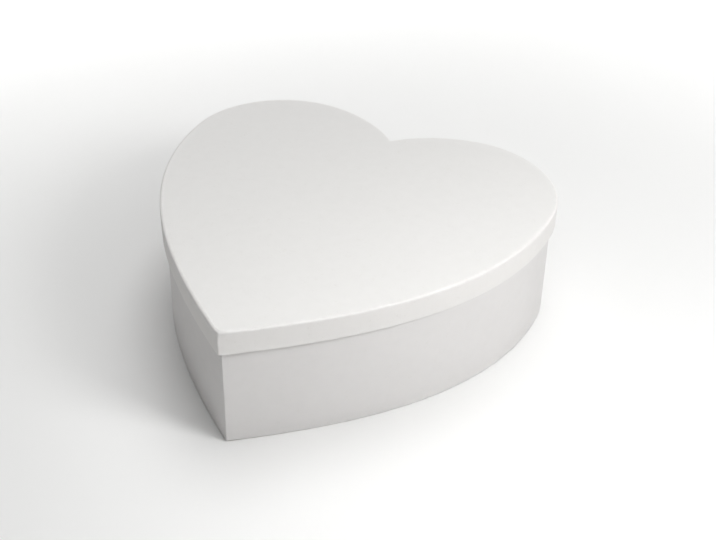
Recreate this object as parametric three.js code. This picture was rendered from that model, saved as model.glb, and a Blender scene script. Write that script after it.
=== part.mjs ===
// A heart-shaped papier-mache box with a lift-off lid: a tray of thin pulp board and a shallow cap that slips
// over its rim. Millimetres, +Z up, the tip of the heart towards -Y, the origin under the middle of the box.
import * as THREE from "three";

// Driving dimensions.
const lidWidth = 260; // across the widest part of both lobes
const lidLength = 260; // from the tip to the tops of the lobes
const boxHeight = 85; // from the table to the top of the closed lid
const skirtHeight = 16.3; // from the top of the lid to the lower edge of its side
const cleftDepth = 26.5; // from the tops of the lobes down to the corner between them
const lobeSpacing = 124; // between the tops of the two lobes
const shoulderDrop = 65; // from the tops of the lobes down to the widest part
const cleftOpening = 80; // degrees, between the two sides of the cleft
const tipOpening = 108; // degrees, between the two flanks at the tip
const wallThickness = 2; // of the tray's wall and of the lid's side
const floorThickness = 2;
const lidTopThickness = 2;
const lidClearance = 0.4; // between the tray's wall and the lid's side, all round
const seatGap = 0.3; // between the tray's rim and the underside of the lid
const lidTipRadius = 3;
const baseTipRadius = 2.4;
const cleftRadius = 1.6; // of the lid's outer face, in the corner between the lobes
const lidEdgeRadius = 1.1; // of the upper edge of the lid
const baseEdgeRadius = 0.6; // of the lower edge of the tray

// The pull of each curve's two handles, as shares of the stretch that they run along.
const cleftPull = 0.22;
const lobePull = 0.45;
const shoulderTopPull = 0.53;
const shoulderSidePull = 0.56;
const flankUpperPull = 0.42;
const flankLowerPull = 0.465;

// Fineness of the outline.
const stepsPerCurve = 24;
const stepsPerCorner = 4;
const stepsPerEdge = 3;
const leastRadius = 0.3; // of an inside corner, where the wall would leave none

// The lid's right side from the cleft to the tip, as three curves with sharp corners at both ends.
function rightSide() {
  const top = lidLength / 2;
  const cleft = new THREE.Vector2(0, top - cleftDepth);
  const lobe = new THREE.Vector2(lobeSpacing / 2, top);
  const shoulder = new THREE.Vector2(lidWidth / 2, top - shoulderDrop);
  // The length ends at the round of the tip, which stops short of the sharp corner by this much.
  const tipCut = lidTipRadius / Math.sin(THREE.MathUtils.degToRad(tipOpening / 2)) - lidTipRadius;
  const tip = new THREE.Vector2(0, top - lidLength - tipCut);
  const along = (from, degrees, length) => {
    const angle = THREE.MathUtils.degToRad(degrees);
    return new THREE.Vector2(Math.cos(angle), Math.sin(angle)).multiplyScalar(length).add(from);
  };
  const lobeRun = lobe.x - cleft.x;
  const shoulderRun = shoulder.x - lobe.x;
  const flankRun = shoulder.y - tip.y;
  return [
    new THREE.CubicBezierCurve(
      cleft,
      along(cleft, 90 - cleftOpening / 2, cleftPull * lobeRun),
      along(lobe, 180, lobePull * lobeRun),
      lobe,
    ),
    new THREE.CubicBezierCurve(
      lobe,
      along(lobe, 0, shoulderTopPull * shoulderRun),
      along(shoulder, 90, shoulderSidePull * shoulderDrop),
      shoulder,
    ),
    new THREE.CubicBezierCurve(
      shoulder,
      along(shoulder, -90, flankUpperPull * flankRun),
      along(tip, 90 - tipOpening / 2, flankLowerPull * flankRun),
      tip,
    ),
  ];
}

const curves = rightSide();

// The point at u, which runs from 0 at the cleft to 3 at the tip, moved inwards by inset.
function pointAt(u, inset) {
  const index = Math.min(Math.floor(u), curves.length - 1);
  const tangent = curves[index].getTangent(u - index);
  const inwards = new THREE.Vector2(tangent.y, -tangent.x);
  return curves[index].getPoint(u - index).addScaledVector(inwards, inset);
}

// The u between two others at which the inset curve meets the heart's middle line.
function middleCrossing(inset, outside, inside) {
  for (let i = 0; i < 50; i++) {
    const u = (outside + inside) / 2;
    if (pointAt(u, inset).x > 0) inside = u;
    else outside = u;
  }
  return inside;
}

// The points of a corner's round half, from one side of the middle line to the other.
function cornerArc(centre, from, to) {
  const start = Math.atan2(from.y - centre.y, from.x - centre.x);
  const end = Math.atan2(to.y - centre.y, to.x - centre.x);
  const radius = from.distanceTo(centre);
  return Array.from({ length: stepsPerCorner }, (_, i) => {
    const angle = start + ((end - start) * i) / stepsPerCorner;
    return new THREE.Vector2(Math.cos(angle), Math.sin(angle)).multiplyScalar(radius).add(centre);
  });
}

// A heart parallel to the lid's outer face, inset millimetres inside it, anticlockwise from above.
function heart(inset, tipRadius) {
  const cleftU = middleCrossing(-cleftRadius, 0, 1);
  const tipU = middleCrossing(inset + tipRadius, 3, 2);
  const cleftCentre = pointAt(cleftU, -cleftRadius);
  const tipCentre = pointAt(tipU, inset + tipRadius);
  const cleftEnd = new THREE.Vector2(0, cleftCentre.y - cleftRadius - inset);
  const tipEnd = new THREE.Vector2(0, tipCentre.y - tipRadius);
  const stops = [cleftU, 1, 2, tipU];
  const side = [pointAt(cleftU, inset)];
  for (let k = 0; k < curves.length; k++) {
    for (let i = 1; i <= stepsPerCurve; i++) {
      side.push(pointAt(THREE.MathUtils.lerp(stops[k], stops[k + 1], i / stepsPerCurve), inset));
    }
  }
  const right = [
    ...cornerArc(cleftCentre, cleftEnd, side[0]),
    ...side,
    ...cornerArc(tipCentre, tipEnd, side.at(-1)).reverse(),
  ];
  const left = right.slice(1, -1).map((p) => new THREE.Vector2(-p.x, p.y));
  return [...right.reverse(), ...left];
}

// A closed solid whose section round the heart is a list of { inset, tipRadius, z }. The first heart is closed
// by a face that looks down, the last by one that looks up.
function shell(section) {
  const rings = section.map(({ inset, tipRadius, z }) =>
    heart(inset, tipRadius).map((p) => new THREE.Vector3(p.x, p.y, z)),
  );
  const count = rings[0].length;
  const indices = [];
  for (let ring = 0; ring < rings.length - 1; ring++) {
    for (let i = 0; i < count; i++) {
      const a = ring * count + i;
      const b = ring * count + ((i + 1) % count);
      indices.push(a, b, b + count, a, b + count, a + count);
    }
  }
  const capFaces = (ring) =>
    THREE.ShapeUtils.triangulateShape(
      rings[ring].map((p) => new THREE.Vector2(p.x, p.y)),
      [],
    );
  const last = rings.length - 1;
  for (const [a, b, c] of capFaces(0)) indices.push(a, c, b);
  for (const face of capFaces(last)) indices.push(...face.map((i) => last * count + i));
  const geometry = new THREE.BufferGeometry().setFromPoints(rings.flat());
  geometry.setIndex(indices);
  geometry.computeVertexNormals();
  return geometry;
}

// A quarter-round outer edge, listed from the lower heart to the upper one. level is the flat face's height,
// and up says whether the edge is above the side (1) or below it (-1).
function roundEdge(inset, tipRadius, radius, level, up) {
  const edge = Array.from({ length: stepsPerEdge + 1 }, (_, i) => {
    const angle = ((Math.PI / 2) * i) / stepsPerEdge;
    const reach = radius * (1 - Math.cos(angle));
    return {
      inset: inset + reach,
      tipRadius: Math.max(tipRadius - reach, leastRadius),
      z: level - up * radius * (1 - Math.sin(angle)),
    };
  });
  return up > 0 ? edge : edge.reverse();
}

const baseInset = wallThickness + lidClearance;
const lidUnderside = boxHeight - lidTopThickness;

function makeBase() {
  const insideTip = Math.max(baseTipRadius - wallThickness, leastRadius);
  const inside = baseInset + wallThickness;
  const rim = lidUnderside - seatGap;
  return shell([
    ...roundEdge(baseInset, baseTipRadius, baseEdgeRadius, 0, -1),
    { inset: baseInset, tipRadius: baseTipRadius, z: rim },
    { inset: inside, tipRadius: insideTip, z: rim },
    { inset: inside, tipRadius: insideTip, z: floorThickness },
  ]);
}

function makeLid() {
  const insideTip = Math.max(lidTipRadius - wallThickness, leastRadius);
  const lowerEdge = boxHeight - skirtHeight;
  return shell([
    { inset: wallThickness, tipRadius: insideTip, z: lidUnderside },
    { inset: wallThickness, tipRadius: insideTip, z: lowerEdge },
    { inset: 0, tipRadius: lidTipRadius, z: lowerEdge },
    ...roundEdge(0, lidTipRadius, lidEdgeRadius, boxHeight, 1),
  ]);
}

const whitePaper = { color: 0xe9e8e5, roughness: 0.72, metalness: 0 };

function makePiece(name, geometry) {
  const mesh = new THREE.Mesh(geometry, new THREE.MeshStandardMaterial(whitePaper));
  mesh.name = name;
  return mesh;
}

const box = new THREE.Group();
box.add(makePiece("base", makeBase()));
box.add(makePiece("lid", makeLid()));

export default box;
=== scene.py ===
"""A white heart-shaped papier-mache box with its lid on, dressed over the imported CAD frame.

The tray and the lid are sections swept round parallel hearts by Geometry Nodes. Paper sheets lie on them, the
wrap of the tray is turned in under its bottom in snipped tabs, and all of it is white paper on pulp board.
Lengths are metres, +Z is up, and the tip of the heart points along -Y.
"""

import logging
import math
from collections.abc import Sequence
from dataclasses import dataclass, field
from enum import Enum
from functools import partial

import bpy
import numpy as np
from mathutils import Matrix, Vector


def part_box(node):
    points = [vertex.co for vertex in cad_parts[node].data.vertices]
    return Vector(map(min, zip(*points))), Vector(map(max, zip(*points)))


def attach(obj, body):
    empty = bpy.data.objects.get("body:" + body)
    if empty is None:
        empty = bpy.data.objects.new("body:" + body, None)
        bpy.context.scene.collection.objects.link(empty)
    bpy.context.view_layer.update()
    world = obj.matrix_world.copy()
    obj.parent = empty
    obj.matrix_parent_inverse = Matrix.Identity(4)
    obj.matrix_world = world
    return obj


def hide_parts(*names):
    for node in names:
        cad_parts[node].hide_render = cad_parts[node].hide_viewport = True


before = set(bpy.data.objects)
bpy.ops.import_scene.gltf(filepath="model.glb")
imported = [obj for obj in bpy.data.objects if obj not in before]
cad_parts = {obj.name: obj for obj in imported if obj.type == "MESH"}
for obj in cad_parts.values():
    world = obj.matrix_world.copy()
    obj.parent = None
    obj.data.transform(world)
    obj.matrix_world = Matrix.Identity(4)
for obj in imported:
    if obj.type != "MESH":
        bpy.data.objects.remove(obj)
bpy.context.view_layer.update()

MM = 0.001
BODY = "root"
MATH = "ShaderNodeMath"
VECTOR_MATH = "ShaderNodeVectorMath"
Object = bpy.types.Object
Material = bpy.types.Material
Socket = bpy.types.NodeSocket
Place = tuple[float, float, float]
log = logging.getLogger("heart_box")


def linear(colour: str) -> tuple[float, float, float, float]:
    """Turns a colour from sRGB hex into linear values.

    Args:
        colour: The colour, such as "#f2f0ec".

    Returns:
        Red, green, blue and alpha for a shader socket.
    """
    channels = [int(colour[start:start + 2], 16) / 255 for start in (1, 3, 5)]
    red, green, blue = (c / 12.92 if c <= 0.04045 else ((c + 0.055) / 1.055) ** 2.4 for c in channels)
    return red, green, blue, 1.0


def new_object(name: str, data: bpy.types.ID) -> Object:
    """Makes an object of a mesh, a light or a camera, and puts it in the scene.

    Args:
        name: The object's name.
        data: The mesh, light or camera.

    Returns:
        The object.
    """
    made = bpy.data.objects.new(name, data)
    bpy.context.scene.collection.objects.link(made)
    return made


def add(
    tree: bpy.types.NodeTree, kind: str, inputs: dict[str | int, object] | None = None, **settings: object
) -> bpy.types.NodeOutputs:
    """Adds a node to a tree, with its settings and links.

    Args:
        tree: The tree that gets the node.
        kind: The node's type.
        inputs: A value, or a socket to link from, for each input by its name or place.
        **settings: The node's own settings.

    Returns:
        The new node's outputs.
    """
    node = tree.nodes.new(kind)
    for name, value in settings.items():
        setattr(node, name, value)
    for key, value in (inputs or {}).items():
        if isinstance(value, Socket):
            tree.links.new(value, node.inputs[key])
        else:
            node.inputs[key].default_value = value
    return node.outputs


class Face(Enum):
    """The way that a stretch of a section looks."""

    UNDER = "under"
    OUTER = "outer"
    TOP = "top"
    INNER = "inner"


@dataclass(frozen=True)
class Lap:
    """The place where the end of a wrapped strip of paper lies over its start."""

    start: float  # along the ring from the tip, anticlockwise
    width: float = 13 * MM
    edge: float = 0.25 * MM  # the run of the cut edge, which is drawn a little sloped

    def stops(self) -> list[float]:
        """Gives the places along the ring that the lap's cut edge needs."""
        return [self.start, self.start + self.edge]

    def rise(self, along: np.ndarray) -> np.ndarray:
        """Gives the lap's height as a share of the paper's, full at the cut edge and fading over the width.

        Args:
            along: Distances along the ring.

        Returns:
            The share at each distance, from 0 to 1.
        """
        past = along - self.start
        fade = np.clip(1 - past / self.width, 0, 1)
        return np.clip(past / self.edge, 0, 1) * fade * fade * (3 - 2 * fade)


@dataclass(frozen=True)
class Ring:
    """A closed heart, as points that run anticlockwise from the tip, with their inward directions."""

    points: np.ndarray
    inward: np.ndarray
    along: np.ndarray

    def to_object(self, name: str, lap: Lap | None) -> Object:
        """Makes the ring a mesh of edges that carries its inward directions and its lap.

        Args:
            name: The object's name.
            lap: Where the wrap overlaps itself, if it does.

        Returns:
            An object in the scene, for the sweep to read.
        """
        count = len(self.points)
        flat = np.column_stack([self.points, np.zeros(count)])
        mesh = bpy.data.meshes.new(name)
        mesh.from_pydata(flat.tolist(), [(i, (i + 1) % count) for i in range(count)], [])
        inward = mesh.attributes.new("inward", "FLOAT_VECTOR", "POINT")
        inward.data.foreach_set("vector", np.column_stack([self.inward, np.zeros(count)]).ravel())
        rise = mesh.attributes.new("lap", "FLOAT", "POINT")
        rise.data.foreach_set("value", lap.rise(self.along) if lap else np.zeros(count))
        return new_object(name, mesh)


@dataclass(frozen=True)
class HeartOutline:
    """The outline of the lid, and the hearts parallel to it.

    Three curves run down each side: from the cleft over the top of the lobe, round the shoulder, and down the
    flank to the tip. The pulls are those curves' handles, as shares of the stretch that each runs along.
    """

    width: float
    length: float
    top: float  # the place of the lobes' tops along Y
    cleft_depth: float = 26.5 * MM
    lobe_spacing: float = 124 * MM
    shoulder_drop: float = 65 * MM
    cleft_opening: float = 80.0  # degrees
    tip_opening: float = 108.0  # degrees
    tip_radius: float = 1.4 * MM
    cleft_radius: float = 1.6 * MM
    cleft_pull: float = 0.22
    lobe_pull: float = 0.45
    shoulder_top_pull: float = 0.53
    shoulder_side_pull: float = 0.56
    flank_upper_pull: float = 0.42
    flank_lower_pull: float = 0.465
    step: float = 1.5 * MM  # between the points of a ring, where it is nearly straight
    turn: float = math.radians(7)  # between the points of a ring, where it turns
    samples: int = 600  # of each curve, from which a ring's points are taken
    arc_samples: int = 60  # of the round tip and the round cleft

    def curves(self) -> list[list[np.ndarray]]:
        """Gives the four control points of each of the right side's curves, from the cleft to the tip.

        Returns:
            Three lists of points, as each curve runs.
        """

        def along(start: np.ndarray, degrees: float, distance: float) -> np.ndarray:
            """Gives the point at a distance and a direction from another."""
            angle = math.radians(degrees)
            return start + distance * np.array([math.cos(angle), math.sin(angle)])

        tip_cut = self.tip_radius / math.sin(math.radians(self.tip_opening / 2)) - self.tip_radius
        cleft = np.array([0.0, self.top - self.cleft_depth])
        lobe = np.array([self.lobe_spacing / 2, self.top])
        shoulder = np.array([self.width / 2, self.top - self.shoulder_drop])
        tip = np.array([0.0, self.top - self.length - tip_cut])
        lobe_run = lobe[0] - cleft[0]
        shoulder_run = shoulder[0] - lobe[0]
        flank_run = shoulder[1] - tip[1]
        return [
            [
                cleft,
                along(cleft, 90 - self.cleft_opening / 2, self.cleft_pull * lobe_run),
                along(lobe, 180, self.lobe_pull * lobe_run),
                lobe,
            ],
            [
                lobe,
                along(lobe, 0, self.shoulder_top_pull * shoulder_run),
                along(shoulder, 90, self.shoulder_side_pull * self.shoulder_drop),
                shoulder,
            ],
            [
                shoulder,
                along(shoulder, -90, self.flank_upper_pull * flank_run),
                along(tip, 90 - self.tip_opening / 2, self.flank_lower_pull * flank_run),
                tip,
            ],
        ]

    def side(self) -> tuple[np.ndarray, np.ndarray]:
        """Gives close points down the right side, with their inward directions.

        Returns:
            The points and the directions.
        """
        share = np.linspace(0, 1, self.samples)[:, None]
        rest = 1 - share
        points = []
        inward = []
        for a, b, c, d in self.curves():
            points.append(rest**3 * a + 3 * rest**2 * share * b + 3 * rest * share**2 * c + share**3 * d)
            way = rest**2 * (b - a) + 2 * rest * share * (c - b) + share**2 * (d - c)
            way /= np.linalg.norm(way, axis=1, keepdims=True)
            inward.append(np.column_stack([way[:, 1], -way[:, 0]]))
        return np.concatenate(points), np.concatenate(inward)

    def half(self, inset: float, tip_radius: float) -> tuple[np.ndarray, np.ndarray]:
        """Gives the right half of a parallel heart, from the middle of the cleft to the middle of the tip.

        Args:
            inset: How far inside the lid's outline it lies.
            tip_radius: The radius that its tip is rounded to.

        Returns:
            Close points, and their inward directions.
        """
        points, inward = self.side()
        places = np.arange(len(points), dtype=float)

        def at(place: float) -> tuple[np.ndarray, np.ndarray]:
            """Gives the outline's point and inward direction at a place between the samples.

            Args:
                place: The place, as an index that need not be whole.

            Returns:
                The point and the direction.
            """
            point = np.array([np.interp(place, places, points[:, axis]) for axis in (0, 1)])
            way = np.array([np.interp(place, places, inward[:, axis]) for axis in (0, 1)])
            return point, way / np.linalg.norm(way)

        def arc(centre: np.ndarray, radius: float, start: float, end: float) -> tuple[np.ndarray, np.ndarray]:
            """Gives the points of an arc about a centre, and the directions from the centre to them.

            Args:
                centre: The centre.
                radius: The radius.
                start: The angle of its first point from +X, in radians.
                end: The angle of its last point.

            Returns:
                The points and the directions.
            """
            angles = np.linspace(start, end, self.arc_samples)
            ways = np.column_stack([np.cos(angles), np.sin(angles)])
            return centre + radius * ways, ways

        near = self.samples // 4
        at_cleft = points[:near, 0] - self.cleft_radius * inward[:near, 0]
        at_tip = points[-near:, 0] + (inset + tip_radius) * inward[-near:, 0]
        first = float(np.interp(0, at_cleft, places[:near]))
        last = float(np.interp(0, at_tip[::-1], places[-near:][::-1]))
        first_point, first_way = at(first)
        last_point, last_way = at(last)
        straight_down = -math.pi / 2
        cleft_points, cleft_ways = arc(
            first_point - self.cleft_radius * first_way,
            self.cleft_radius + inset,
            straight_down,
            math.atan2(first_way[1], first_way[0]),
        )
        tip_points, tip_ways = arc(
            last_point + (inset + tip_radius) * last_way,
            tip_radius,
            math.atan2(-last_way[1], -last_way[0]),
            straight_down,
        )
        kept = (places > first) & (places < last)
        path = np.concatenate([cleft_points, (points + inset * inward)[kept], tip_points])
        ways = np.concatenate([cleft_ways, inward[kept], -tip_ways])
        return path, ways

    def ring(self, inset: float, tip_radius: float, stops: Sequence[float] = ()) -> Ring:
        """Makes a heart parallel to the lid's outline, with its points closer together where it turns.

        Args:
            inset: How far inside the lid's outline it lies.
            tip_radius: The radius that its tip is rounded to.
            stops: Places along the ring that get a point of their own.

        Returns:
            The closed ring.
        """
        path, ways = self.half(inset, tip_radius)
        lengths = np.linalg.norm(np.diff(path, axis=0), axis=1)
        turns = np.arccos(np.clip((ways[1:] * ways[:-1]).sum(axis=1), -1, 1))
        load = np.concatenate([[0.0], np.cumsum(lengths / self.step + turns / self.turn)])
        even = np.linspace(load[-1], 0, round(load[-1]) + 1)
        right = np.column_stack([np.interp(even, load, path[:, axis]) for axis in (0, 1)])
        facing = np.column_stack([np.interp(even, load, ways[:, axis]) for axis in (0, 1)])
        mirror = np.array([-1.0, 1.0])
        points = np.concatenate([right, right[-2:0:-1] * mirror])
        inward = np.concatenate([facing, facing[-2:0:-1] * mirror])
        closed = np.concatenate([points, points[:1]])
        closed_ways = np.concatenate([inward, inward[:1]])
        along = np.concatenate([[0.0], np.cumsum(np.linalg.norm(np.diff(closed, axis=0), axis=1))])
        places = np.unique(np.concatenate([along[:-1], list(stops)]))
        points = np.column_stack([np.interp(places, along, closed[:, axis]) for axis in (0, 1)])
        inward = np.column_stack([np.interp(places, along, closed_ways[:, axis]) for axis in (0, 1)])
        inward /= np.linalg.norm(inward, axis=1, keepdims=True)
        return Ring(points, inward, places)


@dataclass
class Section:
    """A line across the box's side, which the sweep carries round a heart.

    Each station has its inset from the ring, its share of the way on to the middle of the heart, and its
    height. The stations run so that the swept faces look outwards.
    """

    stations: list[Place] = field(default_factory=list)
    faces: list[Face] = field(default_factory=list)
    folded: list[bool] = field(default_factory=list)
    fold_reach: float = 1.6 * MM  # how far from a folded edge the wear and the painted highlight reach
    corner_steps: int = 6

    def put(self, face: Face, inset: float, height: float, share: float = 0.0, folded: bool = False) -> None:
        """Adds one station.

        Args:
            face: The way that the section looks there.
            inset: How far inside the ring it lies.
            height: Its height.
            share: How far it is on the way to the middle, from 0 to 1.
            folded: Whether the paper is folded there.
        """
        self.stations.append((inset, share, height))
        self.faces.append(face)
        self.folded.append(folded)

    def line(self, face: Face, inset: float, height: float, spacing: float) -> None:
        """Goes straight on from the last station.

        Args:
            face: The way that the stretch looks.
            inset: The inset where it ends.
            height: The height where it ends.
            spacing: The most that lies between two stations.
        """
        old_inset, _, old_height = self.stations[-1]
        count = max(1, math.ceil(math.hypot(inset - old_inset, height - old_height) / spacing))
        for step in range(1, count + 1):
            part = step / count
            self.put(face, old_inset + part * (inset - old_inset), old_height + part * (height - old_height))

    def corner(
        self,
        face: Face,
        inset: float,
        height: float,
        radius: float,
        start: float,
        end: float,
        folded: bool = True,
    ) -> None:
        """Goes round a corner.

        Args:
            face: The way that the corner looks.
            inset: The inset of its centre.
            height: The height of its centre.
            radius: Its radius.
            start: The direction of its first point from the centre, in degrees: 0 is outwards and 90 is up.
            end: The direction of its last point.
            folded: Whether the paper is folded over it.
        """
        for step in range(self.corner_steps + 1):
            angle = math.radians(start + (end - start) * step / self.corner_steps)
            self.put(face, inset - radius * math.cos(angle), height + radius * math.sin(angle), folded=folded)

    def from_middle(self, face: Face, inset: float, height: float, rings: int) -> None:
        """Comes out level from the middle of the heart, in a number of rings."""
        for step in range(rings, -1, -1):
            self.put(face, inset, height, share=step / rings)

    def to_middle(self, face: Face, inset: float, height: float, rings: int) -> None:
        """Goes in level to the middle of the heart, in a number of rings."""
        for step in range(rings + 1):
            self.put(face, inset, height, share=step / rings)

    def folds(self) -> np.ndarray:
        """Gives each station's nearness to a folded edge, from 0 to 1.

        Returns:
            One share for each station.
        """
        places = np.array([(inset, height) for inset, _, height in self.stations])
        shares = np.array([share for _, share, _ in self.stations])
        edges = places[np.array(self.folded)]
        if not len(edges):
            return np.zeros(len(places))
        gaps = np.linalg.norm(places[:, None] - edges[None], axis=2).min(axis=1)
        return np.exp(-((gaps / self.fold_reach) ** 2)) * (shares == 0)

    def to_object(self, name: str, lumpy: Face) -> Object:
        """Makes the section a mesh of edges, for the sweep to read.

        Args:
            name: The object's name.
            lumpy: The face that the small lumps rise from.

        Returns:
            An object in the scene.
        """
        mesh = bpy.data.meshes.new(name)
        mesh.from_pydata(self.stations, [(i, i + 1) for i in range(len(self.stations) - 1)], [])
        for label, values in {
            "fold": self.folds(),
            "wrapped": [float(face is Face.OUTER) for face in self.faces],
            "lumpy": [float(face is lumpy) for face in self.faces],
        }.items():
            mesh.attributes.new(label, "FLOAT", "POINT").data.foreach_set("value", values)
        return new_object(name, mesh)


@dataclass(frozen=True)
class Lump:
    """A small swelling in the paper, over a knot of pulp or a blob of paste."""

    place: Place
    reach: float
    rise: float


@dataclass(frozen=True)
class Lumps:
    """The lumps of one face: some listed one by one, and more strewn over it."""

    chosen: tuple[Lump, ...] = ()
    per_square_metre: float = 0.0
    seed: int = 9

    def to_object(self, name: str) -> Object:
        """Makes the chosen lumps a mesh of single points that carry their sizes, for the sweep to read.

        Args:
            name: The object's name.

        Returns:
            An object in the scene.
        """
        mesh = bpy.data.meshes.new(name)
        mesh.from_pydata([lump.place for lump in self.chosen], [], [])
        for label in ("reach", "rise"):
            values = [getattr(lump, label) for lump in self.chosen]
            mesh.attributes.new(label, "FLOAT", "POINT").data.foreach_set("value", values)
        return new_object(name, mesh)


class NodeMaker:
    """A Geometry Nodes tree with named inputs, and the modifier that runs it."""

    def __init__(self, name: str, inputs: dict[str, tuple[str, ...]]) -> None:
        """Makes an empty tree.

        Args:
            name: The tree's name.
            inputs: The names of the inputs, by their kind of socket.
        """
        tree = bpy.data.node_groups.new(name, "GeometryNodeTree")
        tree.interface.new_socket("Geometry", in_out="OUTPUT", socket_type="NodeSocketGeometry")
        self.tree = tree
        self.names = {}
        for kind, labels in {"Geometry": ("Geometry",), **inputs}.items():
            for label in labels:
                socket = tree.interface.new_socket(label, in_out="INPUT", socket_type=f"NodeSocket{kind}")
                self.names[label] = socket.identifier
        self.node = partial(add, tree)
        self.given = self.node("NodeGroupInput")

    def carried(self, label: str, source: Socket, index: Socket, kind: str = "FLOAT") -> Socket:
        """Reads what a point of another geometry carries.

        Args:
            label: The name that it is carried under.
            source: The other geometry.
            index: The index of its point.
            kind: The kind of value.

        Returns:
            The value.
        """
        value = self.node("GeometryNodeInputNamedAttribute", {"Name": label}, data_type=kind)[0]
        inputs = {"Geometry": source, "Value": value, "Index": index}
        return self.node("GeometryNodeSampleIndex", inputs, data_type=kind, domain="POINT")[0]

    def moved(self, geometry: Socket, way: Socket, share: Socket) -> Socket:
        """Moves the points of a geometry by a share of a way."""
        offset = self.node(VECTOR_MATH, {0: way, "Scale": share}, operation="SCALE")[0]
        return self.node("GeometryNodeSetPosition", {"Geometry": geometry, "Offset": offset})[0]

    def finish(self, geometry: Socket) -> None:
        """Ends the tree: real meshes with their material.

        Args:
            geometry: What the tree has made.
        """
        real = self.node("GeometryNodeRealizeInstances", {"Geometry": geometry})[0]
        inputs = {"Geometry": real, "Material": self.given["Material"]}
        self.node("NodeGroupOutput", {0: self.node("GeometryNodeSetMaterial", inputs)[0]})

    def run(self, maker: Object, name: str, values: dict[str, object]) -> Object:
        """Runs the tree on an object and keeps the result as its plain mesh.

        Args:
            maker: The object that holds the tree's input.
            name: The name of the finished piece.
            values: The value of each named input.

        Returns:
            The same object, with the made mesh and no modifier.
        """
        modifier = maker.modifiers.new(name, "NODES")
        modifier.node_group = self.tree
        for label, value in values.items():
            modifier[self.names[label]] = value
        bpy.context.view_layer.update()
        evaluated = maker.evaluated_get(bpy.context.evaluated_depsgraph_get())
        mesh = bpy.data.meshes.new_from_object(evaluated)
        maker.modifiers.clear()
        maker.data = mesh
        maker.name = name
        mesh.name = name
        return maker


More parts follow.
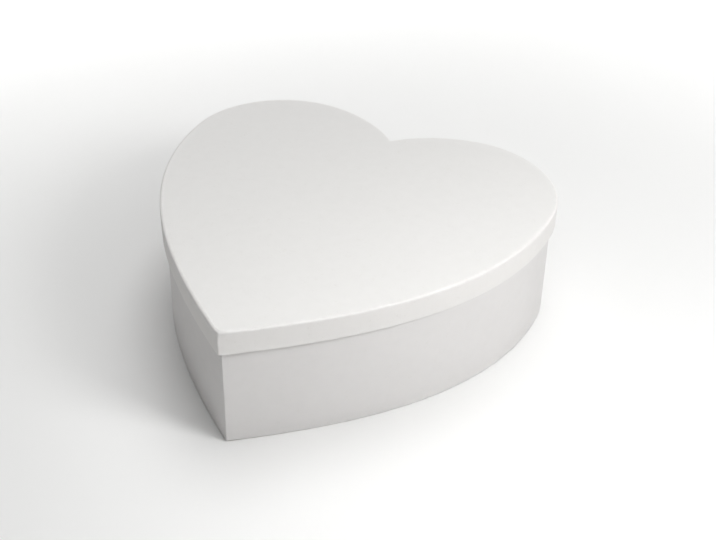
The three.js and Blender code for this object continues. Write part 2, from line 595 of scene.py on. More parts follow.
class HeartSweep(NodeMaker):
    """Geometry Nodes that carry a section round a ring, warp the result and raise small lumps in it."""

    weld: float = 0.002 * MM  # closes the seam and the poles, and nothing else is that close
    least_reach: float = 0.4  # of a strewn lump, as a share of the most
    deepest_dent: float = -0.6  # of a strewn lump, as a share of the highest rise

    def __init__(self) -> None:
        """Builds the tree."""
        super().__init__(
            "Section swept round a heart",
            {
                "Object": ("Section", "Lumps"),
                "Vector": ("Middle", "Worn Corner", "Wear"),
                "Float": (
                    "Lap Height",
                    "Warp",
                    "Warp Length",
                    "Warp Seed",
                    "Level Below",
                    "Wear Reach",
                    "Lumps Per Square Metre",
                    "Lump Rise",
                    "Lump Reach",
                ),
                "Int": ("Lump Seed",),
                "Material": ("Material",),
            },
        )
        swept = self.sweep()
        warped = self.warp(swept)
        worn = self.wear(warped)
        lumpy = self.raise_lumps(worn)
        self.finish(self.node("GeometryNodeSetShadeSmooth", {"Geometry": lumpy})[0])

    def sweep(self) -> Socket:
        """Lays a grid with a column for each point of the ring and a row for each station.

        Returns:
            The swept mesh.
        """
        node = self.node
        ring = self.given["Geometry"]
        section = node("GeometryNodeObjectInfo", {"Object": self.given["Section"]})["Geometry"]
        columns, rows = (
            node("GeometryNodeAttributeDomainSize", {"Geometry": source})["Point Count"]
            for source in (ring, section)
        )
        across = node(MATH, {0: columns, 1: 1.0}, operation="ADD")[0]
        grid = node("GeometryNodeMeshGrid", {"Vertices X": across, "Vertices Y": rows})["Mesh"]
        index = node("GeometryNodeInputIndex")[0]
        row = node(MATH, {0: index, 1: rows}, operation="MODULO")[0]
        first = node(MATH, {0: index, 1: row}, operation="SUBTRACT")[0]
        place = node(MATH, {0: first, 1: rows}, operation="DIVIDE")[0]
        column = node(MATH, {0: place, 1: columns}, operation="MODULO")[0]
        column = node(MATH, {0: column}, operation="ROUND")[0]
        point = self.carried("position", ring, column, "FLOAT_VECTOR")
        inward = self.carried("inward", ring, column, "FLOAT_VECTOR")
        lap = self.carried("lap", ring, column)
        station = node("ShaderNodeSeparateXYZ", {0: self.carried("position", section, row, "FLOAT_VECTOR")})
        raised = node(MATH, {0: lap, 1: self.carried("wrapped", section, row)}, operation="MULTIPLY")[0]
        raised = node(MATH, {0: raised, 1: self.given["Lap Height"]}, operation="MULTIPLY")[0]
        inset = node(MATH, {0: station["X"], 1: raised}, operation="SUBTRACT")[0]
        side = node(VECTOR_MATH, {0: inward, 1: inset, 2: point}, operation="MULTIPLY_ADD")[0]
        to_middle = node(VECTOR_MATH, {0: self.given["Middle"], 1: side}, operation="SUBTRACT")[0]
        level = node(VECTOR_MATH, {0: to_middle, 1: station["Y"], 2: side}, operation="MULTIPLY_ADD")[0]
        height = node("ShaderNodeCombineXYZ", {"Z": station["Z"]})[0]
        position = node(VECTOR_MATH, {0: level, 1: height}, operation="ADD")[0]
        placed = node("GeometryNodeSetPosition", {"Geometry": grid, "Position": position})[0]
        for label in ("fold", "lumpy"):
            inputs = {"Geometry": placed, "Name": label, "Value": self.carried(label, section, row)}
            placed = node("GeometryNodeStoreNamedAttribute", inputs, data_type="FLOAT", domain="POINT")[0]
        return node("GeometryNodeMergeByDistance", {"Geometry": placed, "Distance": self.weld})[0]

    def warp(self, geometry: Socket) -> Socket:
        """Moves everything by one slow wave, less and less towards the table, all pieces alike.

        Args:
            geometry: The swept mesh.

        Returns:
            The warped mesh.
        """
        node = self.node
        position = node("GeometryNodeInputPosition")[0]
        scale = node(MATH, {0: 1.0, 1: self.given["Warp Length"]}, operation="DIVIDE")[0]
        inputs = {"Vector": position, "W": self.given["Warp Seed"], "Scale": scale, "Detail": 1.0}
        noise = node("ShaderNodeTexNoise", inputs, noise_dimensions="4D")["Color"]
        wave = node(VECTOR_MATH, {0: noise, 1: (0.5, 0.5, 0.5)}, operation="SUBTRACT")[0]
        wave = node(VECTOR_MATH, {0: wave, "Scale": self.given["Warp"]}, operation="SCALE")[0]
        height = node("ShaderNodeSeparateXYZ", {0: position})["Z"]
        inputs = {"Value": height, "From Max": self.given["Level Below"]}
        free = node("ShaderNodeMapRange", inputs, interpolation_type="SMOOTHSTEP")[0]
        return self.moved(geometry, wave, free)

    def wear(self, geometry: Socket) -> Socket:
        """Pushes in what lies near the worn corner, all pieces alike."""
        share = self.bell(self.given["Worn Corner"], self.given["Wear Reach"])
        return self.moved(geometry, self.given["Wear"], share)

    def bell(self, middle: Socket, reach: Socket) -> Socket:
        """Gives 1 at a middle point and less and less round it, in a bell curve.

        Args:
            middle: The middle point.
            reach: Where the value has fallen to about a third.

        Returns:
            The value.
        """
        node = self.node
        position = node("GeometryNodeInputPosition")[0]
        gap = node(VECTOR_MATH, {0: position, 1: middle}, operation="DISTANCE")["Value"]
        part = node(MATH, {0: gap, 1: reach}, operation="DIVIDE")[0]
        squared = node(MATH, {0: part, 1: part}, operation="MULTIPLY")[0]
        fall = node(MATH, {0: squared, 1: -1.0}, operation="MULTIPLY")[0]
        return node(MATH, {0: fall}, operation="EXPONENT")[0]

    def raise_lumps(self, geometry: Socket) -> Socket:
        """Swells the surface round points strewn over it, and round those of the Lumps object.

        Args:
            geometry: The mesh, with a share called lumpy on its points.

        Returns:
            The lumpy mesh.
        """
        node = self.node
        seed = self.given["Lump Seed"]
        lumpy = node("GeometryNodeInputNamedAttribute", {"Name": "lumpy"}, data_type="FLOAT")[0]
        chosen = node(MATH, {0: lumpy, 1: 0.5}, operation="GREATER_THAN")[0]
        density = self.given["Lumps Per Square Metre"]
        inputs = {"Mesh": geometry, "Selection": chosen, "Density": density, "Seed": seed}
        strewn = node("GeometryNodeDistributePointsOnFaces", inputs)["Points"]
        for label, most, least, shift in (
            ("reach", self.given["Lump Reach"], self.least_reach, 1.0),
            ("rise", self.given["Lump Rise"], self.deepest_dent, 2.0),
        ):
            low = node(MATH, {0: most, 1: least}, operation="MULTIPLY")[0]
            own_seed = node(MATH, {0: seed, 1: shift}, operation="ADD")[0]
            value = node("FunctionNodeRandomValue", {2: low, 3: most, "Seed": own_seed}, data_type="FLOAT")[1]
            inputs = {"Geometry": strewn, "Name": label, "Value": value}
            strewn = node("GeometryNodeStoreNamedAttribute", inputs, data_type="FLOAT", domain="POINT")[0]
        set_by_hand = node("GeometryNodeObjectInfo", {"Object": self.given["Lumps"]})["Geometry"]
        lumps = node("GeometryNodeJoinGeometry")[0]
        for source in (strewn, node("GeometryNodeMeshToPoints", {"Mesh": set_by_hand})[0]):
            self.tree.links.new(source, lumps.node.inputs[0])
        nearest = node("GeometryNodeSampleNearest", {"Geometry": lumps}, domain="POINT")[0]
        place = self.carried("position", lumps, nearest, "FLOAT_VECTOR")
        swell = self.bell(place, self.carried("reach", lumps, nearest))
        height = node(MATH, {0: swell, 1: self.carried("rise", lumps, nearest)}, operation="MULTIPLY")[0]
        height = node(MATH, {0: height, 1: lumpy}, operation="MULTIPLY")[0]
        return self.moved(geometry, node("GeometryNodeInputNormal")["Normal"], height)


class TabRow(NodeMaker):
    """Geometry Nodes that set snipped tabs of paper side by side along a ring, pointing inwards."""

    def __init__(self) -> None:
        """Builds the tree."""
        super().__init__(
            "Snipped tabs along a heart",
            {
                "Int": ("Count", "Seed"),
                "Float": ("Width", "Depth", "Thickness", "Taper", "Height", "Unevenness", "Corner Gap"),
                "Material": ("Material",),
            },
        )
        node = self.node
        curve = node("GeometryNodeMeshToCurve", {0: self.given["Geometry"]})[0]
        inputs = {"Curve": curve, "Count": self.given["Count"]}
        points = node("GeometryNodeCurveToPoints", inputs, mode="COUNT")
        place = node("GeometryNodeInputPosition")[0]
        across = node("ShaderNodeSeparateXYZ", {0: place})["X"]
        from_middle = node(MATH, {0: across}, operation="ABSOLUTE")[0]
        at_corner = node(MATH, {0: from_middle, 1: self.given["Corner Gap"]}, operation="LESS_THAN")[0]
        inputs = {"Geometry": points["Points"], "Selection": at_corner}
        kept = node("GeometryNodeDeleteGeometry", inputs, domain="POINT")[0]
        facing = node("FunctionNodeAlignRotationToVector", {"Vector": points["Tangent"]}, axis="X")[0]
        most = self.given["Unevenness"]
        least = node(MATH, {0: most, 1: -1.0}, operation="MULTIPLY")[0]
        inputs = {2: least, 3: most, "Seed": self.given["Seed"]}
        skew = node("FunctionNodeRandomValue", inputs, data_type="FLOAT")[1]
        turn = node("FunctionNodeAxisAngleToRotation", {"Axis": (0.0, 0.0, 1.0), "Angle": skew})[0]
        inputs = {"Rotation": facing, "Rotate By": turn}
        turned = node("FunctionNodeRotateRotation", inputs, rotation_space="LOCAL")[0]
        longer = node(MATH, {0: 1.0, 1: skew}, operation="ADD")[0]
        size = node("ShaderNodeCombineXYZ", {"X": 1.0, "Y": longer, "Z": 1.0})[0]
        inputs = {"Points": kept, "Instance": self.tab(), "Rotation": turned, "Scale": size}
        self.finish(node("GeometryNodeInstanceOnPoints", inputs)[0])

    def tab(self) -> Socket:
        """Makes one tab: a thin plate that narrows inwards from its fold.

        Returns:
            The tab's mesh.
        """
        node = self.node
        depth = self.given["Depth"]
        inputs = {"X": self.given["Width"], "Y": depth, "Z": self.given["Thickness"]}
        size = node("ShaderNodeCombineXYZ", inputs)[0]
        inputs = {"Size": size, "Vertices X": 4, "Vertices Y": 5, "Vertices Z": 2}
        plate = node("GeometryNodeMeshCube", inputs)["Mesh"]
        x, y, z = node("ShaderNodeSeparateXYZ", {0: node("GeometryNodeInputPosition")[0]})
        half = node(MATH, {0: depth, 1: 0.5}, operation="MULTIPLY")[0]
        inwards = node(MATH, {0: y, 1: half}, operation="ADD")[0]
        part = node(MATH, {0: inwards, 1: depth}, operation="DIVIDE")[0]
        cut = node(MATH, {0: part, 1: self.given["Taper"]}, operation="MULTIPLY")[0]
        narrow = node(MATH, {0: 1.0, 1: cut}, operation="SUBTRACT")[0]
        across = node(MATH, {0: x, 1: narrow}, operation="MULTIPLY")[0]
        up = node(MATH, {0: z, 1: self.given["Height"]}, operation="ADD")[0]
        shaped = node("ShaderNodeCombineXYZ", {"X": across, "Y": inwards, "Z": up})[0]
        return node("GeometryNodeSetPosition", {"Geometry": plate, "Position": shaped})[0]


@dataclass(frozen=True)
class PaperFinish:
    """Uncoated white paper, machine made and pasted wet over pulp board, so matt and a little uneven.

    The eye gets a soft white with no gloss, clouds of thicker and thinner stock, a few short fibres, a fine
    tooth, and edges worn a little smoother where the paper is folded over the board, and drawn paler there as
    a painted highlight.
    """

    name: str
    colour: str = "#e9e8e6"
    cloud_colour: str = "#e8e7e5"
    fibre_colour: str = "#dad8d3"
    # paler than the paper: a painted highlight along the folds
    painted_fold_highlight_colour: str = "#efeeec"
    roughness: float = 0.72
    roughness_play: float = 0.04
    rubbed_roughness: float = 0.5
    ior: float = 1.47  # of paper's size and filler
    specular: float = 0.35
    fuzz: float = 0.06  # of loose fibre ends, which catch light at a slant
    fuzz_roughness: float = 0.6
    cloud_size: float = 7 * MM  # between the thick and the thin places of the stock
    fibre_length: float = 3.2 * MM
    fibre_curl: float = 1.2  # how much the noise that draws them is twisted
    fibre_strength: float = 0.35
    patch_size: float = 5.44 * MM  # between the places where fibres show
    rub_and_highlight_size: float = 4.2 * MM  # between the more and the less worn places of a fold, which also sets the painted highlight
    tooth_size: float = 0.9 * MM  # real tooth is near 0.2 mm, drawn coarser so that it shows
    tooth_height: float = 0.01 * MM
    swell_size: float = 14 * MM  # between the low waves that the paste leaves in the board
    swell_height: float = 0.03 * MM

    def material(self) -> Material:
        """Makes the paper's material.

        Returns:
            The material.
        """
        made = bpy.data.materials.new(self.name)
        made.use_nodes = True
        made.node_tree.nodes.clear()
        node = partial(add, made.node_tree)
        place = node("ShaderNodeTexCoord")["Object"]
        noises = {}
        for label, size, detail, distortion in (
            ("clouds", self.cloud_size, 3.0, 0.0),
            ("fibres", self.fibre_length, 1.0, self.fibre_curl),
            ("patches", self.patch_size, 1.0, 0.0),
            ("rub_and_highlight_noise", self.rub_and_highlight_size, 2.0, 0.0),
            ("swell", self.swell_size, 2.0, 0.0),
            ("tooth", self.tooth_size, 2.0, 0.0),
        ):
            inputs = {"Vector": place, "Scale": 1 / size, "Detail": detail, "Distortion": distortion}
            noises[label] = node("ShaderNodeTexNoise", inputs)[0]
        off_middle = node(MATH, {0: noises["fibres"], 1: 0.5}, operation="SUBTRACT")[0]
        ridges = node(MATH, {0: off_middle}, operation="ABSOLUTE")[0]
        matt = (self.roughness - self.roughness_play, self.roughness + self.roughness_play)
        cloudy, rough, lines, patches, worn = (
            node("ShaderNodeMapRange", {"Value": value, 1: low, 2: high, 3: at_low, 4: at_high})[0]
            for value, (low, high), (at_low, at_high) in (
                (noises["clouds"], (0.35, 0.65), (0.0, 1.0)),
                (noises["clouds"], (0.3, 0.7), matt),
                (ridges, (0.0, 0.02), (self.fibre_strength, 0.0)),
                (noises["patches"], (0.56, 0.62), (0.0, 1.0)),
                # how worn each place of a fold is, which sets both its smoother finish and its painted
                # highlight
                (noises["rub_and_highlight_noise"], (0.35, 0.7), (0.1, 0.8)),
            )
        )
        fibres = node(MATH, {0: lines, 1: patches}, operation="MULTIPLY")[0]
        # Near folds the paper is worn smoother, which is real wear, and drawn paler, which is a painted
        # highlight.
        fold = node("ShaderNodeAttribute", attribute_name="fold")["Fac"]
        rub_and_highlight_share = node(MATH, {0: fold, 1: worn}, operation="MULTIPLY")[0]
        colour = linear(self.colour)
        for share, over in (
            (cloudy, self.cloud_colour),
            (fibres, self.fibre_colour),
            # the paler colour near folds, a painted highlight
            (rub_and_highlight_share, self.painted_fold_highlight_colour),
        ):
            colour = node("ShaderNodeMix", {0: share, 6: colour, 7: linear(over)}, data_type="RGBA")[2]
        roughness = node("ShaderNodeMix", {0: rub_and_highlight_share, 2: rough, 3: self.rubbed_roughness})[0]
        swell = node("ShaderNodeBump", {"Distance": self.swell_height, "Height": noises["swell"]})[0]
        inputs = {"Distance": self.tooth_height, "Height": noises["tooth"], "Normal": swell}
        tooth = node("ShaderNodeBump", inputs)[0]
        shader = node(
            "ShaderNodeBsdfPrincipled",
            {
                "Base Color": colour,
                "Roughness": roughness,
                "IOR": self.ior,
                "Specular IOR Level": self.specular,
                "Sheen Weight": self.fuzz,
                "Sheen Roughness": self.fuzz_roughness,
                "Normal": tooth,
            },
        )[0]
        node("ShaderNodeOutputMaterial", {"Surface": shader})
        return made


@dataclass
class Workshop:
    """What every sub-assembly needs: the outline, the node trees, and sizes that they share."""

    outline: HeartOutline
    sweep: HeartSweep
    tabs: TabRow
    top: float  # of the closed box
    wear: Place = (0.0, 1.7 * MM, -0.5 * MM)  # of the lid's corner over the tip
    wear_reach: float = 3.2 * MM
    warp: float = 0.24 * MM
    warp_length: float = 95 * MM
    warp_seed: float = 3.7
    level_below: float = 30 * MM  # under this height the warp fades, so that the box stands flat
    play: float = 0.15 * MM  # kept inside the CAD box for warp and lumps
    lump_rise: float = 0.1 * MM
    lump_reach: float = 3.5 * MM
    paper: float = 0.2 * MM  # real paper is near 0.12 mm, drawn thicker so that its edges show
    cut_edge: float = 0.07 * MM  # the radius of a sheet's edge
    cut_edge_collar: float = 0.28 * MM  # between that edge and the sheet's rings
    sheet_tip_radius: float = 1.2 * MM
    hidden_rings: int = 6  # of a face that nobody sees
    plain_rings: int = 14  # of a face that a sheet covers
    collar: float = 3 * MM  # between an edge and the rings of a plain face
    near: float = 1.2 * MM  # the most between stations near an edge

    def swept(
        self,
        name: str,
        inset: float,
        tip_radius: float,
        section: Section,
        material: Material,
        lumpy: Face,
        lumps: Lumps,
        lap: Lap | None = None,
    ) -> Object:
        """Sweeps a section round a heart.

        Args:
            name: The piece's name.
            inset: How far the ring lies inside the lid's outline.
            tip_radius: The radius of the ring's tip.
            section: The section.
            material: The piece's material.
            lumpy: The face that has small lumps.
            lumps: The lumps.
            lap: Where the wrap overlaps itself.

        Returns:
            The piece.
        """
        ring = self.outline.ring(inset, tip_radius, lap.stops() if lap else ())
        maker = ring.to_object(f"{name}_ring", lap)
        helper = section.to_object(f"{name}_section", lumpy)
        points = lumps.to_object(f"{name}_lumps")
        values = {
            "Section": helper,
            "Middle": (0.0, 0.0, 0.0),
            "Lap Height": self.paper,
            "Warp": self.warp,
            "Warp Length": self.warp_length,
            "Warp Seed": self.warp_seed,
            "Level Below": self.level_below,
            "Worn Corner": (0.0, self.outline.top - self.outline.length, self.top),
            "Wear": self.wear,
            "Wear Reach": self.wear_reach,
            "Lumps": points,
            "Lumps Per Square Metre": lumps.per_square_metre,
            "Lump Rise": self.lump_rise,
            "Lump Reach": self.lump_reach,
            "Lump Seed": lumps.seed,
            "Material": material,
        }
        piece = self.sweep.run(maker, name, values)
        for used in (helper, points):
            bpy.data.objects.remove(used)
        return piece

    def sheet(
        self,
        name: str,
        inset: float,
        level: float,
        material: Material,
        shown: Face,
        rings: int = 24,
        lumps: Lumps = Lumps(),
    ) -> Object:
        """Makes a sheet of paper cut to a parallel heart, as a closed thin plate with a soft cut edge.

        Args:
            name: The piece's name.
            inset: How far its edge lies inside the lid's outline.
            level: The height of its underside.
            material: Its paper.
            shown: The face that shows.
            rings: How many rings that face has.
            lumps: The lumps of that face.

        Returns:
            The piece.
        """
        edge = self.cut_edge
        top = level + self.paper
        below, above = (rings if shown is face else self.hidden_rings for face in (Face.UNDER, Face.TOP))
        section = Section()
        section.from_middle(Face.UNDER, self.cut_edge_collar, level, below)
        section.corner(Face.UNDER, edge, level + edge, edge, -90, 0)
        section.corner(Face.TOP, edge, top - edge, edge, 0, 90)
        section.to_middle(Face.TOP, self.cut_edge_collar, top, above)
        return self.swept(name, inset, self.sheet_tip_radius, section, material, shown, lumps)

    def hand_over(self, pieces: list[Object], slot: str, node: str) -> list[Object]:
        """Gives finished pieces their body, and hides the CAD node that they stand for.

        Args:
            pieces: The pieces.
            slot: The record's material slot; not used.
            node: The CAD node that the first of them stands for.

        Returns:
            The same pieces.
        """
        for piece in pieces:
            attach(piece, BODY)
        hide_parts(node)
        return pieces


@dataclass
class Tray:
    """The deep tray: a wrapped board wall with its rim turned in, a floor, and a papered underside."""

    shop: Workshop
    height: float
    inset: float = 2.1 * MM  # of the wall's outer face at the foot from the lid's outline
    lean: float = 1.1 * MM  # how much further in the wall stands at its rim
    tip_radius: float = 1.2 * MM
    wall: float = 2 * MM
    floor: float = 2 * MM
    rim_radius: float = 0.85 * MM
    foot_radius: float = 0.7 * MM
    floor_fillet: float = 1 * MM
    rim_turn_in: float = 15 * MM  # of the wrap, down the inside
    outer_spacing: float = 1.7 * MM  # the most between stations up the outside
    rim_spacing: float = 2.5 * MM  # the most between stations down the turned-in rim
    inner_spacing: float = 3 * MM  # the most between stations below it
    floor_sheet_gap: float = 1.6 * MM  # between the floor sheet and the wall
    floor_sheet_sunk: float = 0.05 * MM  # into the floor, where it is pasted down
    bottom_sheet_inset: float = 4.5 * MM
    tab_count: int = 74
    tab_width: float = 11.2 * MM
    tab_depth: float = 12 * MM
    tab_taper: float = 0.22
    tab_unevenness: float = 0.05
    tab_corner_gap: float = 6.5 * MM  # on either side of the tip and the cleft
    tab_level: float = 0.28 * MM  # of the middle of its thickness
    tab_inset: float = 0.42 * MM  # of its fold from the wall's outer face
    tab_seed: int = 2
    slot: str = "base_paper"
    lap: Lap = Lap(start=352 * MM)
    lumps: Lumps = Lumps((Lump((5.3 * MM, -126.1 * MM, 42.2 * MM), 1.6 * MM, 0.26 * MM),), 260, 4)

    def build(self, wrap: Material, lining: Material) -> list[Object]:
        """Builds the tray's pieces and hands them over.

        Args:
            wrap: The material of the outer paper.
            lining: The material of the paper inside and underneath.

        Returns:
            The pieces.
        """
        pieces = [self.shell(wrap), self.floor_sheet(lining), self.turn_in(wrap), self.bottom_sheet(lining)]
        return self.shop.hand_over(pieces, self.slot, "base")

    def shell(self, material: Material) -> Object:
        """Makes the wall and floor in one hollow shell.

        Args:
            material: Its paper.

        Returns:
            The piece.
        """
        shop = self.shop
        foot = 2 * shop.paper  # under the board lie the turned-in wrap and the bottom sheet
        turn = self.height - self.rim_radius
        step = self.height - self.rim_turn_in
        bare = self.wall - shop.paper
        leaning = self.lean * step / self.height
        fillet = self.floor_fillet
        section = Section()
        section.from_middle(Face.UNDER, shop.collar, foot, shop.plain_rings)
        section.line(Face.UNDER, self.foot_radius, foot, shop.near)
        section.corner(Face.OUTER, self.foot_radius, foot + self.foot_radius, self.foot_radius, -90, 0)
        section.line(Face.OUTER, self.lean, turn, self.outer_spacing)
        section.corner(Face.OUTER, self.lean + self.rim_radius, turn, self.rim_radius, 0, 90)
        section.corner(Face.INNER, self.lean + self.wall - self.rim_radius, turn, self.rim_radius, 90, 180)
        section.line(Face.INNER, leaning + self.wall, step, self.rim_spacing)
        section.line(Face.INNER, leaning + bare, step - shop.paper / 2, shop.near)
        section.line(Face.INNER, bare, self.floor + fillet, self.inner_spacing)
        section.corner(Face.INNER, bare + fillet, self.floor + fillet, fillet, 0, -90, folded=False)
        section.line(Face.INNER, bare + shop.collar, self.floor, shop.near)
        section.to_middle(Face.INNER, bare + shop.collar, self.floor, shop.plain_rings)
        inset = self.inset + shop.play
        tip = self.tip_radius
        return shop.swept("tray", inset, tip, section, material, Face.OUTER, self.lumps, self.lap)

    def floor_sheet(self, material: Material) -> Object:
        """Makes the sheet that covers the floor inside.

        Args:
            material: Its paper.

        Returns:
            The piece.
        """
        inset = self.inset + self.wall + self.floor_sheet_gap
        level = self.floor - self.floor_sheet_sunk
        return self.shop.sheet("tray_floor_sheet", inset, level, material, Face.TOP)

    def bottom_sheet(self, material: Material) -> Object:
        """Makes the sheet that covers the underside, inside the edge."""
        inset = self.inset + self.bottom_sheet_inset
        return self.shop.sheet("tray_bottom_sheet", inset, 0.0, material, Face.UNDER)

    def turn_in(self, material: Material) -> Object:
        """Makes the tabs of the wrap, which are turned in under the board and pasted.

        Args:
            material: Their paper.

        Returns:
            The piece.
        """
        inset = self.inset + self.shop.play + self.tab_inset
        maker = self.shop.outline.ring(inset, self.tip_radius).to_object("tray_turn_in_ring", None)
        values = {
            "Count": self.tab_count,
            "Width": self.tab_width,
            "Depth": self.tab_depth,
            "Thickness": self.shop.paper,
            "Taper": self.tab_taper,
            "Height": self.tab_level,
            "Unevenness": self.tab_unevenness,
            "Corner Gap": self.tab_corner_gap,
            "Seed": self.tab_seed,
            "Material": material,
        }
        return self.shop.tabs.run(maker, "tray_turn_in", values)


@dataclass
class Lid:
    """The shallow lid: a cap that slips over the tray's rim, with a cover sheet on its top."""

    shop: Workshop
    skirt: float = 16.3 * MM
    board: float = 2 * MM
    tip_radius: float = 1.4 * MM
    edge_radius: float = 1.2 * MM  # round the top
    lower_edge_radius: float = 0.35 * MM
    ceiling_fillet: float = 0.8 * MM
    turn_up: float = 11 * MM  # of the side's paper, inside the lid
    inner_spacing: float = 2 * MM  # the most between stations down the inside
    outer_spacing: float = 1.3 * MM  # the most between stations up the outside
    top_spacing: float = 0.8 * MM  # the most between stations at the edge of the top
    cover_inset: float = 1.5 * MM
    cover_sunk: float = 0.02 * MM  # into the top board
    cover_rings: int = 64
    lining_gap: float = 2 * MM  # between the lining and the side
    lining_sunk: float = 0.05 * MM  # into the ceiling
    slot: str = "lid_paper"
    lap: Lap = Lap(start=381 * MM)
    lumps: Lumps = Lumps((Lump((16.8 * MM, -117.8 * MM, 73.6 * MM), 1.9 * MM, 0.3 * MM),), 200, 6)
    cover_lumps: Lumps = Lumps(
        (
            Lump((-78 * MM, 103 * MM, 85 * MM), 5 * MM, 0.16 * MM),
            Lump((-46 * MM, 111 * MM, 85 * MM), 4 * MM, 0.14 * MM),
        ),
        220,
    )

    def build(self, wrap: Material, cover: Material, lining: Material) -> list[Object]:
        """Builds the lid's pieces and hands them over.

        Args:
            wrap: The material of the strip round the side.
            cover: The material of the sheet on the top.
            lining: The material of the sheet inside.

        Returns:
            The pieces.
        """
        pieces = [self.cap(wrap), self.cover_sheet(cover), self.lining_sheet(lining)]
        return self.shop.hand_over(pieces, self.slot, "lid")

    def cap(self, material: Material) -> Object:
        """Makes the top board and the side in one hollow cap.

        Args:
            material: Its paper.

        Returns:
            The piece.
        """
        shop = self.shop
        board_top = shop.top - shop.play - shop.paper
        ceiling = shop.top - self.board
        low = shop.top - self.skirt
        bare = self.board - shop.paper
        fillet = self.ceiling_fillet
        radius = self.lower_edge_radius
        turn = board_top - self.edge_radius
        section = Section()
        section.from_middle(Face.UNDER, self.board + shop.collar, ceiling, shop.plain_rings)
        section.line(Face.UNDER, bare + fillet, ceiling, shop.near)
        section.corner(Face.INNER, bare + fillet, ceiling - fillet, fillet, 90, 0, folded=False)
        section.line(Face.INNER, bare, low + self.turn_up, self.inner_spacing)
        section.line(Face.INNER, self.board, low + self.turn_up - shop.paper / 2, shop.near)
        section.line(Face.INNER, self.board, low + radius, self.inner_spacing)
        section.corner(Face.INNER, self.board - radius, low + radius, radius, -180, -90)
        section.corner(Face.OUTER, radius, low + radius, radius, -90, 0)
        section.line(Face.OUTER, 0.0, turn, self.outer_spacing)
        section.corner(Face.OUTER, self.edge_radius, turn, self.edge_radius, 0, 90)
        section.line(Face.TOP, self.cover_inset + shop.collar, board_top, self.top_spacing)
        section.to_middle(Face.TOP, self.cover_inset + shop.collar, board_top, shop.plain_rings)
        tip = self.tip_radius
        return shop.swept("lid_cap", shop.play, tip, section, material, Face.OUTER, self.lumps, self.lap)

    def cover_sheet(self, material: Material) -> Object:
        """Makes the sheet on the top, which stops just short of the rounded edge.

        Args:
            material: Its paper.

        Returns:
            The piece.
        """
        shop = self.shop
        level = shop.top - shop.play - shop.paper - self.cover_sunk
        inset = self.cover_inset
        lumps = self.cover_lumps
        return shop.sheet("lid_cover_sheet", inset, level, material, Face.TOP, self.cover_rings, lumps)

    def lining_sheet(self, material: Material) -> Object:
        """Makes the sheet under the top, inside the lid."""
        level = self.shop.top - self.board - self.shop.paper + self.lining_sunk
        return self.shop.sheet("lid_lining_sheet", self.board + self.lining_gap, level, material, Face.UNDER)


@dataclass(frozen=True)
class Softbox:
    """A square soft light that hangs round the box and faces it, or the floor behind it."""

    name: str
    azimuth: float  # degrees round from +X
    elevation: float  # degrees over the table
    distance: float
    size: float
    power: float  # watts
    aim: Place = (0.0, 0.0, 0.0)  # under the box, unless it lights the floor
    spread: float = 180.0  # degrees, less with a grid in front

    def hang(self) -> None:
        """Adds the light to the scene."""
        data = bpy.data.lights.new(self.name, "AREA")
        data.size = self.size
        data.energy = self.power
        data.spread = math.radians(self.spread)
        light = new_object(self.name, data)
        turn = math.radians(self.azimuth)
        above = math.radians(self.elevation)
        level = math.cos(above)
        way = Vector((level * math.cos(turn), level * math.sin(turn), math.sin(above)))
        place = way * self.distance
        light.location = place
        light.rotation_euler = (Vector(self.aim) - place).to_track_quat("-Z", "Y").to_euler()


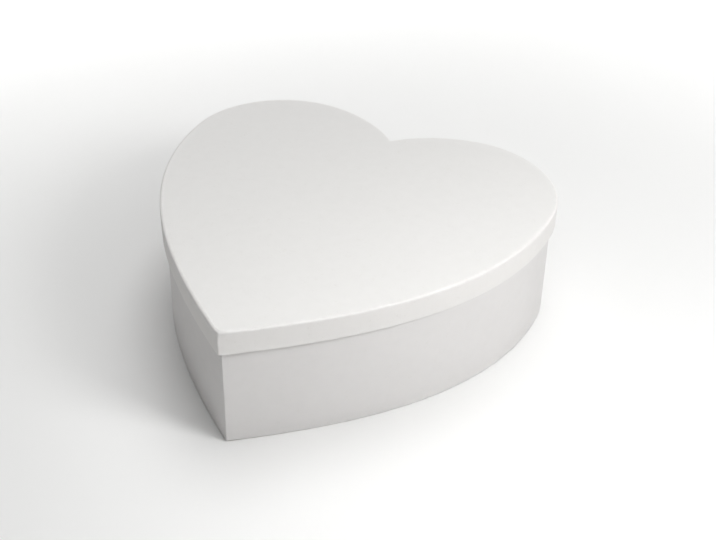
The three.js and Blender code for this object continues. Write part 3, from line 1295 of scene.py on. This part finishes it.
@dataclass
class Studio:
    """A pale floor, soft light and the camera."""

    floor_size: float = 60.0
    floor_colour: str = "#f6f6f5"
    floor_roughness: float = 0.9
    floor_specular: float = 0.1
    world_colour: str = "#ffffff"
    world_strength: float = 0.06
    backdrop_colour: str = "#b4b4b3"  # of the far wall, which shows over the floor in low views
    lights: tuple[Softbox, ...] = (
        Softbox("key_light", -10, 41, 0.8, size=0.25, power=2.5),
        Softbox("front_light", -38, 61, 0.5, size=0.35, power=0.61),
        Softbox("back_light", 105, 70, 12.0, size=8.4, power=665.0),
        Softbox("left_light", 190, 40, 6.0, size=4.2, power=27.0),
        Softbox("behind_light", 114, 43, 1.05, size=0.5, power=0.75, aim=(-0.31, 0.7, 0.0), spread=75),
        Softbox("behind_right_light", 68, 43, 1.05, size=0.5, power=0.75, aim=(0.29, 0.71, 0.0), spread=75),
        Softbox("beside_light", 160, 52, 1.2, size=0.6, power=1.2, aim=(-0.72, 0.26, 0.0), spread=65),
    )
    camera_place: Place = (276.092 * MM, -551.020 * MM, 498.106 * MM)
    camera_azimuth: float = 24.511  # degrees round from -Y
    camera_elevation: float = 36.493
    camera_roll: float = 1.278
    camera_lens: float = 59.467  # mm, on the sensor's width
    sensor_width: float = 36.0  # mm
    nearest_seen: float = 10 * MM

    def build(self) -> None:
        """Builds the floor, the lights and the camera."""
        self.floor()
        self.world()
        for light in self.lights:
            light.hang()
        self.camera()
        bpy.context.scene.view_settings.view_transform = "Standard"

    def floor(self) -> None:
        """Lays the floor."""
        half = self.floor_size / 2
        mesh = bpy.data.meshes.new("floor")
        corners = [(-half, -half, 0), (half, -half, 0), (half, half, 0), (-half, half, 0)]
        mesh.from_pydata(corners, [], [(0, 1, 2, 3)])
        material = bpy.data.materials.new("matt_floor")
        material.use_nodes = True
        material.node_tree.nodes.clear()
        node = partial(add, material.node_tree)
        inputs = {
            "Base Color": linear(self.floor_colour),
            "Roughness": self.floor_roughness,
            "Specular IOR Level": self.floor_specular,
        }
        node("ShaderNodeOutputMaterial", {"Surface": node("ShaderNodeBsdfPrincipled", inputs)[0]})
        mesh.materials.append(material)
        new_object("floor", mesh)

    def world(self) -> None:
        """Sets the even light from all round, and the pale backdrop behind it."""
        world = bpy.data.worlds.new("even_light")
        world.use_nodes = True
        world.node_tree.nodes.clear()
        node = partial(add, world.node_tree)
        inputs = {"Color": linear(self.world_colour), "Strength": self.world_strength}
        light = node("ShaderNodeBackground", inputs)[0]
        backdrop = node("ShaderNodeBackground", {"Color": linear(self.backdrop_colour)})[0]
        seen = node("ShaderNodeLightPath")["Is Camera Ray"]
        both = node("ShaderNodeMixShader", {0: seen, 1: light, 2: backdrop})[0]
        node("ShaderNodeOutputWorld", {"Surface": both})
        bpy.context.scene.world = world

    def camera(self) -> None:
        """Sets the camera where the photograph was taken from."""
        data = bpy.data.cameras.new("camera")
        data.lens = self.camera_lens
        data.sensor_width = self.sensor_width
        data.sensor_fit = "HORIZONTAL"
        data.clip_start = self.nearest_seen
        camera = new_object("camera", data)
        turn = Matrix.Rotation(math.radians(self.camera_azimuth), 4, "Z")
        tilt = Matrix.Rotation(math.radians(90 - self.camera_elevation), 4, "X")
        roll = Matrix.Rotation(math.radians(self.camera_roll), 4, "Z")
        camera.matrix_world = Matrix.Translation(self.camera_place) @ turn @ tilt @ roll
        bpy.context.scene.camera = camera


def main() -> None:
    """Builds the box and its surroundings."""
    logging.basicConfig(level=logging.INFO, format="%(name)s: %(message)s")
    Studio().build()
    _, base_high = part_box("base")
    lid_low, lid_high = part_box("lid")
    outline = HeartOutline(lid_high.x - lid_low.x, lid_high.y - lid_low.y, lid_high.y)
    shop = Workshop(outline, HeartSweep(), TabRow(), lid_high.z)
    # The same white paper is drawn darker on the tray's wrap and paler on the lid's edging than on the cover:
    # partly a difference in tone, partly painted shade on the tray's wall and painted light on the lid's
    # side.
    wrap = PaperFinish("uncoated_wrap_paper", colour="#e5e3e2", cloud_colour="#e4e2e1").material()
    edging = PaperFinish("uncoated_edging_paper", colour="#edebe9", cloud_colour="#eceae8").material()
    cover = PaperFinish("uncoated_cover_paper").material()
    lining = PaperFinish("uncoated_lining_paper", colour="#e7e6e2").material()
    tray = Tray(shop, base_high.z).build(wrap, lining)
    lid = Lid(shop).build(edging, cover, lining)
    for piece in (*tray, *lid):
        log.info("%s: %d points, %d faces", piece.name, len(piece.data.vertices), len(piece.data.polygons))


if __name__ == "__main__":
    main()
